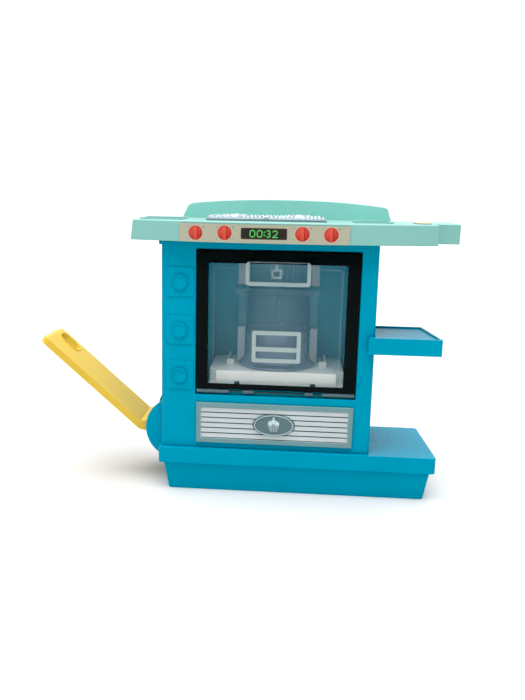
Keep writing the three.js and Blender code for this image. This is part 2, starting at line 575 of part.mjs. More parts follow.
function sideShelf() {
  const { bottom, top } = SHELF;
  const block = upright(shelfOutline(0), bottom, top);
  const { right, front, back } = SHELF;
  const innerCorners = (inset) => outline([
    [BODY.right + GAP + inset, front + inset], [right - inset, front + inset],
    [right - 8.9 - inset, back - inset], [BODY.right + GAP + inset, back - inset],
  ], 2);
  const recess = upright(innerCorners(WALL), top - 1.5, top + 1);
  const under = upright(innerCorners(WALL), bottom - 1, top - 4);
  const x0 = BODY.right + GAP;
  const bosses = SHELF_SCREWS.ys.map((y) => rod("x", y, SHELF_SCREWS.z, 4.2, x0, x0 + 13));
  const pilots = SHELF_SCREWS.ys.map((y) => rod("x", y, SHELF_SCREWS.z, SCREW.hole, x0 - 1, x0 + 11, 12));
  return cut(join(cut(block, recess, under), ...bosses), ...pilots);
}
add("side_shelf", sideShelf(), TEAL);
SHELF_SCREWS.ys.forEach((y, i) =>
  screw(`shelf_screw_${i + 1}`, "x", y, SHELF_SCREWS.z, BODY.right - WALL - GAP - SCREW.headHeight, 1, 13));

// ---- counter: a shallow upside-down tray with a bowed front and two sunk dishes ----
const bowMiddleX = (COUNTER.left + COUNTER.wingRight) / 2;
const bowHalf = (COUNTER.wingRight - COUNTER.left) / 2;
const frontEdge = (x) => COUNTER_END_Y - COUNTER_BOW * (1 - ((x - bowMiddleX) / bowHalf) ** 2);

function counterOutline(inset) {
  const { left, right, wingRight, back } = COUNTER;
  const shape = new THREE.Shape();
  const [x0, x1] = [left + inset, wingRight - inset];
  const end = COUNTER_END_Y + inset;
  const steps = 24;
  shape.moveTo(x0, end);
  for (let i = 1; i < steps; i++) {
    const x = x0 + ((x1 - x0) * i) / steps;
    shape.lineTo(x, frontEdge(x) + inset);
  }
  shape.lineTo(x1, end);
  shape.lineTo(x1, COUNTER_STEP_Y + inset);
  shape.lineTo(right - inset, COUNTER_STEP_Y + inset);
  shape.lineTo(right - inset, back - inset);
  shape.lineTo(x0, back - inset);
  shape.closePath();
  return shape;
}

// Leans the two ends of the bowed part outwards, down to the foot.
function flareEnds(geometry) {
  const position = geometry.attributes.position;
  for (let i = 0; i < position.count; i++) {
    const share = (position.getX(i) - bowMiddleX) / bowHalf;
    if (position.getZ(i) > COUNTER.bottom + 1 || Math.abs(share) > 1) continue;
    position.setX(i, position.getX(i) + COUNTER_FLARE * share);
  }
  return geometry;
}

const DISHES = [
  { x: -143, y: -14, halfX: 20, halfY: 24 },
  { x: 67.5, y: -14, halfX: 17.5, halfY: 24 },
];
const counterPosts = [[-120, 0], [-50, 30], [20, 30], [60, 25]];

function counterTop() {
  const { bottom, top } = COUNTER;
  const dishBlock = ({ x, y, halfX, halfY }, grow, z0, z1) =>
    upright(rectangle(x - halfX - grow, x + halfX + grow, y - halfY - grow, y + halfY + grow, 7), z0, z1);
  const outside = flareEnds(upright(counterOutline(0), bottom, top));
  const inside = flareEnds(upright(counterOutline(WALL), bottom - 1, top - WALL));
  const cups = DISHES.map((dish) => dishBlock(dish, 1.5, top - 6.5, top + 1.6));
  const bowls = DISHES.map((dish) => dishBlock(dish, -0.5, top - 4, top + 5));
  const posts = counterPosts.map(([x, y]) => rod("z", x, y, 4, BODY.top + GAP, top - 1));
  return cut(join(cut(outside, inside), ...cups, ...posts), ...bowls);
}
add("counter_top", counterTop(), MINT);

function curvedLabel() {
  const { left, right, bottom, top, thickness } = LABEL;
  const steps = 14;
  const xs = Array.from({ length: steps + 1 }, (_, i) => left + ((right - left) * i) / steps);
  const inner = xs.map((x) => [x, frontEdge(x) - 2 * GAP]);
  const outer = xs.map((x) => [x, frontEdge(x) - 2 * GAP - thickness]).reverse();
  return upright(outline([...inner, ...outer], 0), bottom, top);
}
add("control_label", curvedLabel(), CHAMPAGNE);

function backsplash() {
  const shape = new THREE.Shape();
  const z = COUNTER.top + GAP;
  shape.moveTo(-132.8, z);
  shape.lineTo(92.9, z);
  shape.lineTo(89.4, z + 10);
  shape.quadraticCurveTo(88.2, 291.5, 83, 291.9);
  shape.quadraticCurveTo(36, 297.9, -24, 297.9);
  shape.quadraticCurveTo(-74, 297.9, -119, 293.4);
  shape.quadraticCurveTo(-126.5, 292.5, -128, z + 10);
  shape.closePath();
  return facing(shape, 43.5, 48.5, 8);
}
add("backsplash", backsplash(), MINT);

// ---- hob: a silver plate with four raised burner rings ----
const HOB = { left: -98, right: 21, front: -34, back: 22 };

function hobPlate() {
  const z = COUNTER.top + GAP;
  const { left, right, front, back } = HOB;
  const plate = upright(rectangle(left, right, front, back, 6), z, z + 3.2);
  const rings = [-71, -6].flatMap((x) => [-20, 8].map((y) =>
    cut(rod("z", x, y, 11.5, z + 2, z + 5.2, 28), rod("z", x, y, 8.5, z + 3.2, z + 8, 28))));
  return join(plate, ...rings);
}
add("hob_plate", hobPlate(), SILVER);
const boardZ = COUNTER.top + GAP;
add("board_label", upright(rectangle(109.5, 124, -28, 6, 3), boardZ, boardZ + 0.6), TAN);

export default kitchen;
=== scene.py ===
import math

import bmesh
import bpy
import numpy as np
from mathutils import Matrix, Vector


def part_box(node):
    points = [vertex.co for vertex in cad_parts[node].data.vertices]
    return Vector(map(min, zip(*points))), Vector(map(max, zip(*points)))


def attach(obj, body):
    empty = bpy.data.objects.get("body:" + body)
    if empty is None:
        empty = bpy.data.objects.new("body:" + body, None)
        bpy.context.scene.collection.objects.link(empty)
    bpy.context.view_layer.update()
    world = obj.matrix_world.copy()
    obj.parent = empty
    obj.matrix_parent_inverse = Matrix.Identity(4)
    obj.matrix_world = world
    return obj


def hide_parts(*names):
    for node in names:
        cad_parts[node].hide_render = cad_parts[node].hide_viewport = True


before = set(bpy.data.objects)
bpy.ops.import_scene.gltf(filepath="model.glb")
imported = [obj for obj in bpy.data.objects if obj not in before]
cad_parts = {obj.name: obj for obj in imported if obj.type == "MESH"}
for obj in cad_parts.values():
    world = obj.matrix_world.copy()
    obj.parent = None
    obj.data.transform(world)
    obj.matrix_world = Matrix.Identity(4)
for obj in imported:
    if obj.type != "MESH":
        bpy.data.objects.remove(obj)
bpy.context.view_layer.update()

# ---- Base ----------------------------------------------------------------------------------
# The foot of the toy is one hollow moulding in teal polystyrene: a deck with a lip, over a skirt
# that narrows to the table. A flat cover closes it from below, held by six self-tapping screws.

MM = 0.001
MERGE = 1e-6  # points closer than this, in metres, are one point
TINT_LUMPS, GLOSS_LUMPS, GRAIN_LUMPS = 24, 260, 3000  # how many to the metre
CRISP_ANGLE = math.radians(34)


def pigment(red, green, blue):
    """An 8-bit colour as linear light: ((c + 0.055) / 1.055) to the power 2.4, or c / 12.92 where dark."""
    shade = np.array([red, green, blue]) / 255
    light = np.where(shade > 0.04045, ((shade + 0.055) / 1.055) ** 2.4, shade / 12.92)
    return [float(value) for value in light] + [1.0]


def noise_field(tree, scale, detail=2.0, stretch=(1, 1, 1)):
    """Smooth random values, `scale` lumps to the metre, fixed to the piece."""
    place = tree.nodes.new("ShaderNodeTexCoord")
    turn = tree.nodes.new("ShaderNodeMapping")
    turn.inputs["Scale"].default_value = stretch
    field = tree.nodes.new("ShaderNodeTexNoise")
    field.inputs["Scale"].default_value = scale
    field.inputs["Detail"].default_value = detail
    tree.links.new(place.outputs["Object"], turn.inputs["Vector"])
    tree.links.new(turn.outputs["Vector"], field.inputs["Vector"])
    return field.outputs["Fac"]


def spread(tree, value, low, high):
    """Stretches the middle of a noise field to run from `low` to `high`."""
    span = tree.nodes.new("ShaderNodeMapRange")
    span.inputs["From Min"].default_value = 0.32
    span.inputs["From Max"].default_value = 0.68
    span.inputs["To Min"].default_value = low
    span.inputs["To Max"].default_value = high
    tree.links.new(value, span.inputs["Value"])
    return span.outputs["Result"]


def moulded_plastic(name, colour, roughness, drift=0.05, grain=0.05, settings=()):
    """Plastic out of a steel mould. Its tint drifts over a few centimetres, its gloss over a few
    millimetres, and a grain of a third of a millimetre breaks up the shine."""
    material = bpy.data.materials.new(name)
    material.use_nodes = True
    tree = material.node_tree
    shader = tree.nodes["Principled BSDF"]
    shader.inputs["Specular IOR Level"].default_value = 0.28
    for socket, value in dict(settings).items():
        shader.inputs[socket].default_value = value
    tint = tree.nodes.new("ShaderNodeValToRGB")
    dark, light = tint.color_ramp.elements
    dark.position, light.position = 0.3, 0.7
    dark.color = [c * (1 - drift) for c in colour[:3]] + [1]
    light.color = [min(c * (1 + drift), 1) for c in colour[:3]] + [1]
    tree.links.new(noise_field(tree, TINT_LUMPS, 3), tint.inputs["Fac"])
    tree.links.new(tint.outputs["Color"], shader.inputs["Base Color"])
    gloss = spread(tree, noise_field(tree, GLOSS_LUMPS, 3), roughness - 0.05, roughness + 0.05)
    tree.links.new(gloss, shader.inputs["Roughness"])
    bump = tree.nodes.new("ShaderNodeBump")
    bump.inputs["Strength"].default_value = grain
    bump.inputs["Distance"].default_value = 0.2 * MM
    tree.links.new(noise_field(tree, GRAIN_LUMPS, 1), bump.inputs["Height"])
    tree.links.new(bump.outputs["Normal"], shader.inputs["Normal"])
    return material


def fitted(piece, material, body, slot, *nodes):
    """Gives a finished piece its material, its place on a body and the CAD nodes that it stands for."""
    piece.data.materials.append(material)
    if nodes:
        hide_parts(*nodes)
    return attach(piece, body)


def moulded(node, body, slot, material, edge, segments=2):
    """A smooth copy of a CAD solid. Its flats are merged and cut afresh, then each crisp edge is rolled
    over by `edge` millimetres, as a mould leaves it, or by 0.42 of the width of its narrower face,
    2 * area / perimeter, where that is less. Six passes carry a smaller roll along a chain of edges, so
    that it doesn't jump at a corner."""
    work = bmesh.new()
    work.from_mesh(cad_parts[node].data)
    bmesh.ops.remove_doubles(work, verts=work.verts, dist=10 * MERGE)
    bmesh.ops.dissolve_limit(work, angle_limit=math.radians(0.4), verts=work.verts, edges=work.edges)
    share = work.edges.layers.float.new("bevel_weight_edge")
    crisp = [side for side in work.edges if side.calc_face_angle(0) > CRISP_ANGLE]
    for side in crisp:
        room = min(2 * face.calc_area() / face.calc_perimeter() for face in side.link_faces)
        side[share] = min(1, 0.42 * room / (edge * MM))
    for _ in range(6):
        least = [min(near[share] for end in side.verts for near in end.link_edges if near[share] > 0)
                 for side in crisp]
        for side, value in zip(crisp, least):
            side[share] = value
    bmesh.ops.triangulate(work, faces=work.faces, quad_method="BEAUTY", ngon_method="BEAUTY")
    mesh = bpy.data.meshes.new(node + "_moulded")
    work.to_mesh(mesh)
    work.free()
    mesh.shade_smooth()
    piece = bpy.data.objects.new(node + "_moulded", mesh)
    bpy.context.scene.collection.objects.link(piece)
    rolled = piece.modifiers.new("rolled_edges", "BEVEL")
    rolled.width = edge * MM
    rolled.segments = segments
    rolled.limit_method = "WEIGHT"
    rolled.use_clamp_overlap = False
    even = piece.modifiers.new("even_shading", "WEIGHTED_NORMAL")
    even.weight = 90
    return fitted(piece, material, body, slot, node)


TEAL = moulded_plastic("teal_polystyrene", pigment(0, 146, 176), 0.3, drift=0.03, grain=0.01,
                       settings={"Specular IOR Level": 0.15})
moulded("base_shell", "cabinet", "teal_plastic", TEAL, 1.3, 3)
moulded("bottom_cover", "cabinet", "teal_plastic", TEAL, 0.4)


# The screws are zinc-plated steel, with a pan head, a cross recess and a coarse thread that cuts its own
# way. Each is one turned surface: rings of points from the recess, over the head and down to the tip.
def squares(rows, columns, round_rows=False, round_columns=False):
    """Corner numbers of a grid's squares, where point (i, j) has number i * columns + j. A round
    direction joins its last line to its first."""
    i, j = np.meshgrid(
        np.arange(rows if round_rows else rows - 1),
        np.arange(columns if round_columns else columns - 1),
        indexing="ij",
    )
    below, across = (i + 1) % rows, (j + 1) % columns
    corners = [i * columns + j, i * columns + across, below * columns + across, below * columns + j]
    return np.stack(corners, -1).reshape(-1, 4).tolist()


def patch(points, round_rows=False, round_columns=False, capped=False):
    """A grid of points, rows by columns by 3, as (points, faces). Capped closes its first and last rows."""
    rows, columns = points.shape[:2]
    faces = squares(rows, columns, round_rows, round_columns)
    if capped:
        faces += [list(range(columns)), list(range((rows - 1) * columns, rows * columns))]
    return points.reshape(-1, 3), faces


def surface(name, parts, material, body, slot, *nodes, crease=38, attributes=()):
    """One piece from patches given in millimetres. Doubles are merged, each closed patch turned to
    face outwards, and edges sharper than `crease` degrees stay crisp."""
    starts = np.cumsum([0] + [len(points) for points, _ in parts])
    faces = [
        [corner + start for corner in face]
        for (_, corners), start in zip(parts, starts.tolist())
        for face in corners
    ]
    mesh = bpy.data.meshes.new(name)
    mesh.from_pydata(np.concatenate([points for points, _ in parts]) * MM, [], faces)
    for label, values in attributes:
        mesh.color_attributes.new(label, "FLOAT_COLOR", "POINT").data.foreach_set("color", values.ravel())
    work = bmesh.new()
    work.from_mesh(mesh)
    bmesh.ops.remove_doubles(work, verts=work.verts, dist=MERGE)
    bmesh.ops.recalc_face_normals(work, faces=work.faces)
    work.to_mesh(mesh)
    work.free()
    mesh.shade_smooth()
    mesh.set_sharp_from_angle(angle=math.radians(crease))
    piece = bpy.data.objects.new(name, mesh)
    bpy.context.scene.collection.objects.link(piece)
    return fitted(piece, material, body, slot, *nodes)


def rings(radii, heights, steps=32):
    """Rings about the Z axis: row i has radius r(i, turn) and height h(i, turn), each a number or a
    line of `steps` numbers."""
    turn = np.linspace(0, 2 * np.pi, steps, endpoint=False)
    radii = np.stack([np.broadcast_to(r, steps) for r in radii])
    heights = np.stack([np.broadcast_to(h, steps) for h in heights])
    return np.stack([radii * np.cos(turn), radii * np.sin(turn), heights], -1)


LYING = {  # what a local point (u, v, w) becomes when the local Z axis lies along each direction
    "z": lambda u, v, w: (u, v, w),
    "-z": lambda u, v, w: (u, -v, -w),
    "x": lambda u, v, w: (w, u, v),
    "-x": lambda u, v, w: (-w, -u, v),
    "y": lambda u, v, w: (-u, w, v),
    "-y": lambda u, v, w: (u, -w, v),
}


def laid(points, way, foot):
    """Points about the local Z axis, laid along `way` with their origin at `foot`."""
    return np.stack(LYING[way](*np.moveaxis(points, -1, 0)), -1) + np.array(foot)


def middle(node):
    """(lowest corner, middle, highest corner) of a CAD node, in millimetres."""
    low, high = (np.array(corner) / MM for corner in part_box(node))
    return low, (low + high) / 2, high


SCREW = {"head": 3.2, "head_height": 1.5, "dome": 0.375, "shank": 1.5, "pitch": 1.3}


def screw_rings(length, steps=28):
    """The head's top, domed as 1 - share squared, less a cross recess where |x| or |y| is under a sixth
    of the radius; the head's side; then the shank, whose radius swells by a quarter once a pitch along a
    helix and draws in over the last sixth, down to the tip."""
    head, head_height, shank = SCREW["head"], SCREW["head_height"], SCREW["shank"]
    turn = np.linspace(0, 2 * np.pi, steps, endpoint=False)
    share = np.linspace(0, 1, 12)[:, None]
    x, y = share * np.cos(turn), share * np.sin(turn)
    arm = np.minimum(np.abs(x), np.abs(y))
    recess = np.clip((0.17 - arm) / 0.06, 0, 1) * np.clip((0.66 - share) / 0.1, 0, 1)
    crown = SCREW["dome"] * (1 - share**2) - 0.62 * head_height * recess
    top = np.stack([head * x, head * y, crown], -1)
    side_depth = head_height * np.array([0.25, 0.9, 1, 1])
    side = rings([head, head, head * 0.94, shank], -side_depth, steps)
    down = np.linspace(0, 1, 60)[:, None]
    depth = -(head_height + (length - head_height) * down)
    wave = np.abs(((depth / SCREW["pitch"] - turn / (2 * np.pi)) % 1) - 0.5) * 2
    taper = np.clip((1 - down) / 0.16, 0, 1)
    radius = shank * (0.74 + 0.26 * np.clip(wave * 2 - 1, 0, 1)) * (0.25 + 0.75 * taper)
    thread = np.stack([radius * np.cos(turn), radius * np.sin(turn), depth + 0 * turn], -1)
    tip = rings([0], [-length], steps)
    return np.concatenate([top, side, thread, tip])


def screw(name, way, body):
    """A screw in the place of its CAD node, its head at the end that points along `way`. The dome is the
    highest point, so the head's rim starts that much lower."""
    low, rim, high = middle(name)
    axis = "xyz".index(way[-1])
    rim[axis] = low[axis] + SCREW["dome"] if way[0] == "-" else high[axis] - SCREW["dome"]
    points = screw_rings(high[axis] - low[axis] - SCREW["dome"])
    turned = patch(laid(points, way, rim), round_columns=True)
    surface(name + "_turned", [turned], STEEL, body, "steel", name)


def plated_steel(name, colour, roughness):
    """Plated steel: metallic all through, with a cloudy tint and a fine grain."""
    return moulded_plastic(name, colour, roughness, drift=0.08, grain=0.12, settings={"Metallic": 1.0})


STEEL = plated_steel("zinc_plated_steel", pigment(196, 198, 200), 0.3)
for number in range(1, 7):
    screw(f"base_screw_{number}", "-z", "cabinet")

# ---- Cabinet -------------------------------------------------------------------------------
# Two teal shells meet half way back. The front one has the doorway, three raised drawer panels
# and half of the lever's cheeks; the rear one closes it and takes four screws from behind.

moulded("front_shell", "cabinet", "teal_plastic", TEAL, 0.8, 3)
moulded("rear_shell", "cabinet", "teal_plastic", TEAL, 0.6)
for number in range(1, 5):
    screw(f"shell_screw_{number}", "y", "cabinet")

# The drawer knobs are moulded with the panels: a low round button with a rolled rim and a dished
# face, turned about the line through each panel's middle.
front_low, _, _ = middle("front_shell")
DRAWER_X = -121.25
DRAWER_HEIGHTS = [217.2, 169.0, 122.4]
KNOB = {"radius": 7.8, "rise": 2.8, "foot_y": front_low[1] + 1.6}


def knob_rings(radius, rise):
    """Radius against height: a foot sunk in the panel, a rolled rim, and a face dished as the square of
    the radius down to 0.55 of the rise."""
    angle = np.linspace(-0.35, 0.5, 8) * np.pi
    rim_r = radius * 0.84 + radius * 0.14 * np.cos(angle)
    rim_h = rise * 0.8 + rise * 0.2 * np.sin(angle)
    dish = np.linspace(0.78, 0, 8)
    radii = [0, radius * 0.9, *rim_r, *(radius * dish)]
    heights = [0.2, 0.2, *rim_h, *(rise * (0.55 + 0.3 * dish**2))]
    return rings(radii, heights, 40)


button = knob_rings(KNOB["radius"], KNOB["rise"])
knobs = [
    patch(laid(button, "-y", (DRAWER_X, KNOB["foot_y"], height)), round_columns=True)
    for height in DRAWER_HEIGHTS
]
surface("drawer_knobs", knobs, TEAL, "cabinet", "teal_plastic")

# ---- Oven ----------------------------------------------------------------------------------
# The liner is one teal box with a flange that the door shuts against. Its back wall has a panel
# of upright ribs, and a small frosted catch hangs from its ceiling behind the door pull.

LINER = moulded_plastic("liner_polystyrene", pigment(0, 160, 184), 0.4, drift=0.04, grain=0.04)
moulded("oven_liner", "cabinet", "teal_plastic", LINER, 0.5)
WHITE = moulded_plastic("white_polystyrene", pigment(216, 216, 210), 0.38, drift=0.03)


def clear_plastic(name, colour, alpha, roughness, grain=0.02):
    """Polished styrene: a faint body colour seen through, with slight flow marks in the gloss."""
    seen_through = {"Alpha": alpha, "IOR": 1.55}
    material = moulded_plastic(name, colour, roughness, drift=0.06, grain=grain, settings=seen_through)
    material.surface_render_method = "BLENDED"
    return material


FROSTED = clear_plastic("frosted_styrene", pigment(196, 214, 216), 0.4, 0.4, 0.08)
moulded("door_catch", "cabinet", "white_plastic", FROSTED, 0.35)


def relief(across, along, height):
    """A plate whose face is height(u, v) over a grid of `across` by `along`. Each row is a section: the
    face, then the two ends of the flat back at height 0."""
    u, v = np.meshgrid(across, along)
    face = np.stack([u, v, height(u, v)], -1)
    back = np.stack([u, v, 0 * u], -1)[:, [-1, 0]]
    return np.concatenate([face, back], axis=1)


def step(value, edge, soft):
    """0 below the edge and 1 above it, over a slope `soft` wide."""
    t = np.clip((value - edge) / soft + 0.5, 0, 1)
    return t * t * (3 - 2 * t)


def rib_height(u, v):
    """Upright ribs 3.4 mm apart with round tops, fading out at the panel's edge."""
    ribs = 0.2 * np.maximum(np.cos(2 * np.pi * u / 3.4), -0.2)
    fade = step(31 - np.abs(u), 0, 1.5) * step(14 - np.abs(v), 0, 1.5)
    return 0.3 + (ribs + 0.2) * fade


_, _, liner_high = middle("oven_liner")
_, mould_middle, _ = middle("mould_base")
RIB_PANEL = (mould_middle[0], liner_high[1] - 1.7, 222)
# The rib panel is the liner's teal painted far paler: painted light on the dim back wall of the oven.
RIBS_PAINTED_LIGHTER = moulded_plastic("rib_polystyrene_painted_lighter", pigment(150, 198, 212), 0.45, drift=0.04, grain=0.04)
ribs = relief(np.linspace(-34, 34, 205), np.linspace(-16, 16, 12), rib_height)
rib_panel = patch(laid(ribs, "-y", RIB_PANEL), round_columns=True, capped=True)
surface("oven_rib_panel", [rib_panel], RIBS_PAINTED_LIGHTER, "cabinet", "teal_plastic")

# ---- Tray and mould ------------------------------------------------------------------------
# A white tray stands in the oven. On it are the smoke-grey foot of the cake mould, two clear half
# shells with a seam in front, a clear bridge above, four frosted posts and a pale latch.

SMOKE = clear_plastic("smoke_styrene", pigment(146, 162, 184), 0.5, 0.25)
CLEAR = clear_plastic("clear_styrene", pigment(150, 206, 228), 0.11, 0.12)
LATCH = clear_plastic("latch_styrene", pigment(178, 190, 184), 0.86, 0.36, 0.04)
moulded("oven_tray", "cabinet", "white_plastic", WHITE, 0.4)
moulded("mould_latch", "cabinet", "white_plastic", LATCH, 0.7)
moulded("mould_bridge", "cabinet", "smoke_plastic", CLEAR, 0.6)
POST = clear_plastic("post_styrene", pigment(206, 210, 212), 0.4, 0.45, 0.08)
for post in ("left_lower", "left_upper", "right_lower", "right_upper"):
    moulded(f"guide_post_{post}", "cabinet", "white_plastic", POST, 0.9)


def arc(centre_r, centre_h, radius, start, end, count):
    """Points of a profile's round corner, as radii and heights, from angle start to end in degrees."""
    angle = np.radians(np.linspace(start, end, count))
    return centre_r + radius * np.cos(angle), centre_h + radius * np.sin(angle)


# The foot of the mould is a bell turned about the plunger's line, flared to a rolled rim below.
foot_low, foot_middle, foot_high = middle("mould_base")
FOOT_HEIGHT = foot_high[2] - foot_low[2]
BORE = 29.5


def bell_profile():
    """Outer radius 31.8 + 1.5 * (1 - h / height) + 7 * exp(-(h - 2.2) / 3.4) above a rolled rim, then the
    lip of the mouth and the bore."""
    rim_r, rim_h = arc(39.3, 1.2, 1.2, -90, 40, 7)
    climb = np.linspace(2.2, FOOT_HEIGHT - 1, 26)
    flare = 31.8 + 1.5 * (1 - climb / FOOT_HEIGHT) + 7.0 * np.exp(-(climb - 2.2) / 3.4)
    lip_r, lip_h = arc(31.0, FOOT_HEIGHT - 0.8, 0.8, 0, 100, 5)
    radii = [5.4, *rim_r, *flare, *lip_r, BORE, BORE, BORE - 1, 5.4]
    heights = [0, *rim_h, *climb, *lip_h, FOOT_HEIGHT - 0.4, 3.5, 2.5, 2.5]
    return radii, heights


bell = laid(rings(*bell_profile(), steps=96), "z", (foot_middle[0], 0, foot_low[2]))
surface("mould_base_turned", [patch(bell, round_rows=True, round_columns=True)], SMOKE, "cabinet",
        "smoke_plastic", "mould_base")

# The half shells are clear: one wall section carried half way round, with a shoulder and a rim above
# and upright flutes outside. A rib stands along each straight edge where the halves meet, and a flat
# wing at the side stands on the guide post.
half_low, _, half_high = middle("mould_left_half")
SHELL = {"outer": 33.2, "inner": 31.0, "rim": 36.2, "height": half_high[2] - half_low[2]}


def half_shell(side):
    """Radius = wall section + 0.35 mm of flutes, 40 to the turn, fading towards the rim; the angle runs
    from just past the front seam to just before the rear one."""
    height = SHELL["height"]
    turn = np.radians(np.linspace(0.3, 179.7, 145))[:, None] * side + np.pi * 1.5
    shoulder_r, shoulder_h = arc(SHELL["outer"] + 1.2, height - 4.2, 1.2, 180, 90, 5)
    rim_r, rim_h = arc(SHELL["rim"] - 1.1, height - 1.9, 1.1, -90, 90, 7)
    wall_h = np.linspace(0, height - 6, 12)
    radii = np.array([*np.full(12, SHELL["outer"]), *shoulder_r, *rim_r, SHELL["inner"] + 0.8,
                      SHELL["inner"], SHELL["inner"]])
    heights = np.array([*wall_h, *shoulder_h, *rim_h, height - 0.8, height - 1.6, 0])
    fluted = np.zeros(len(radii))
    fluted[1:11] = 0.35
    reach = radii + fluted * (np.cos(turn * 40) - 1)
    return np.stack([reach * np.cos(turn), reach * np.sin(turn), heights + 0 * turn], -1)


def seam_rib(side, front):
    """A strip beside the seam, 1.4 mm wide and round outside: one section carried up the wall."""
    angle = np.radians(np.linspace(0, 180, 9))
    across = side * (0.9 + 0.7 * np.cos(angle))
    out = SHELL["outer"] - 0.6 + 1.9 * np.sin(angle)
    rise = np.linspace(0.2, SHELL["height"] - 4.4, 6)[:, None]
    return np.stack([across + 0 * rise, front * out + 0 * rise, rise + 0 * across], -1)


def wing(side):
    """A flat plate beside the wall, 4 mm thick with a half-round outer edge: one section carried up."""
    angle = np.radians(np.linspace(-90, 90, 13))
    across = side * np.array([SHELL["outer"] - 0.4, *(39.8 + 2.0 * np.cos(angle)), SHELL["outer"] - 0.4])
    deep = np.array([-2.0, *(2.0 * np.sin(angle)), 2.0])
    rise = np.linspace(0, SHELL["height"] - 1, 6)[:, None]
    return np.stack([across + 0 * rise, deep + 0 * rise, rise + 0 * across], -1)


SHELL_FOOT = (foot_middle[0], 0, half_low[2])
for name, side in (("left", -1), ("right", 1)):
    sections = [half_shell(side), wing(side), seam_rib(side, -1), seam_rib(side, 1)]
    parts = [patch(laid(section, "z", SHELL_FOOT), round_columns=True, capped=True) for section in sections]
    surface(f"mould_{name}_half_turned", parts, CLEAR, "cabinet", "clear_plastic", f"mould_{name}_half")

# ---- Plunger -------------------------------------------------------------------------------
# A white disc that fills the mould's bore, on a post that passes through the tray and the deck to
# a slotted foot, where the lift arm's pin runs.

disc_low, disc_middle, disc_high = middle("plunger_disc")


def plunger_profile():
    """A disc with rolled edges and a socket below for the post. Its top carries three low rings, a cosine
    of the radius 0.35 mm high."""
    radius, height = disc_high[0] - disc_middle[0], disc_high[2] - disc_low[2]
    edge_r, edge_h = arc(radius - 0.6, height - 0.6, 0.6, 0, 90, 5)
    low_r, low_h = arc(radius - 0.4, 0.4, 0.4, -90, 0, 3)
    face_r = np.linspace(radius - 1.4, 0, 40)
    face_h = height - 0.35 + 0.35 * np.cos(face_r * 2 * np.pi / 9.2)
    radii = [0, 4.3, 4.3, *low_r, *edge_r, *face_r]
    heights = [2.5, 2.5, 0, *low_h, *edge_h, *face_h]
    return radii, heights


disc = laid(rings(*plunger_profile(), steps=72), "z", (disc_middle[0], 0, disc_low[2]))
surface("plunger_disc_turned", [patch(disc, round_columns=True)], WHITE, "plunger", "white_plastic",
        "plunger_disc")
moulded("plunger_post", "plunger", "white_plastic", WHITE, 0.5)

# ---- Lever ---------------------------------------------------------------------------------
# A wide yellow paddle turns on a steel axle between the cheeks, and a white forked arm screwed to
# its hub reaches inside to the lift pin. A raised rim runs round the finger slot near the tip.

YELLOW = moulded_plastic("yellow_polystyrene", pigment(216, 182, 66), 0.36, drift=0.04,
                         settings={"Subsurface Weight": 0.12, "Subsurface Scale": 0.002})
moulded("lever_paddle", "lever", "yellow_plastic", YELLOW, 1.0, 3)
moulded("lift_arm", "lever", "white_plastic", WHITE, 0.5)
screw("arm_screw_1", "x", "lever")
screw("arm_screw_2", "x", "lever")


def pin(name, body, way="y", metal=STEEL):
    """A turned rod in the place of its CAD node: chamfered ends and a shallow groove near each."""
    low, foot, high = middle(name)
    axis = "xyz".index(way)
    radius = min((high - low)[i] for i in range(3) if i != axis) / 2
    length = (high - low)[axis]
    end = np.array([0, 0, 0.5, 1.6, 1.8, 2.4, 2.6]) * radius
    girth = np.array([0, 0.7, 1, 1, 0.88, 0.88, 1]) * radius
    heights = [*end, *(length - end[::-1])]
    foot[axis] = low[axis]
    rod = laid(rings([*girth, *girth[::-1]], heights, 36), way, foot)
    surface(name + "_turned", [patch(rod, round_columns=True)], metal, body, "steel", name)


pin("lever_axle", "lever")
pin("lift_pin", "lever")

# The rim follows a rounded rectangle on the paddle's face, square to it. Places on the paddle are
# measured from its elbow, where its blade starts to rise.
RISE = math.radians(41.3)
ELBOW = np.array([-168.5, 0, 56.2])
SLOT = {"u": (-131, -106), "v": (2, 22.5), "radius": 8, "face": 7.4}


def rounded_loop(u0, u1, v0, v1, radius, corner_steps=10):
    """Points of a rounded rectangle and the outward direction at each: four quarter circles in turn."""
    quarter = np.linspace(0, np.pi / 2, corner_steps)
    angle = np.concatenate([quarter + k * np.pi / 2 for k in range(4)])
    centre_u = np.repeat([u1 - radius, u0 + radius, u0 + radius, u1 - radius], corner_steps)
    centre_v = np.repeat([v1 - radius, v1 - radius, v0 + radius, v0 + radius], corner_steps)
    out = np.stack([np.cos(angle), np.sin(angle)], -1)
    return np.stack([centre_u, centre_v], -1) + radius * out, out


def bead(loop, out, width, rise, sunk=0.4):
    """A half-round bead carried round a loop: out by width * cos and up by rise * sin, with a sunk foot."""
    angle = np.linspace(0, np.pi, 9)
    across = np.array([*(width * np.cos(angle)), -width, width])
    up = np.array([*(rise * np.sin(angle)), -sunk, -sunk])
    flat = loop[:, None] + out[:, None] * across[:, None]
    return np.concatenate([flat, np.broadcast_to(up, flat.shape[:2])[..., None]], -1)


def on_paddle(points):
    """From the paddle's own (along, across, up) to the cabinet's frame: turned by its rise at the elbow."""
    u, v, w = np.moveaxis(points, -1, 0)
    x = u * math.cos(RISE) + w * math.sin(RISE)
    z = -u * math.sin(RISE) + w * math.cos(RISE)
    return np.stack([x, v, z], -1) + ELBOW


slot_loop, slot_out = rounded_loop(*SLOT["u"], *SLOT["v"], SLOT["radius"])
rim = on_paddle(bead(slot_loop + 0.9 * slot_out, slot_out, 0.9, 0.8) + [0, 0, SLOT["face"]])
surface("lever_slot_rim", [patch(rim, round_rows=True, round_columns=True)], YELLOW, "lever",
        "yellow_plastic")

# ---- Door ----------------------------------------------------------------------------------
# A clear pane hinged at its foot on a steel rod, with knuckles moulded on, a glossy black printed
# frame round the window, and a clear pull. A thin step runs round inside the window.

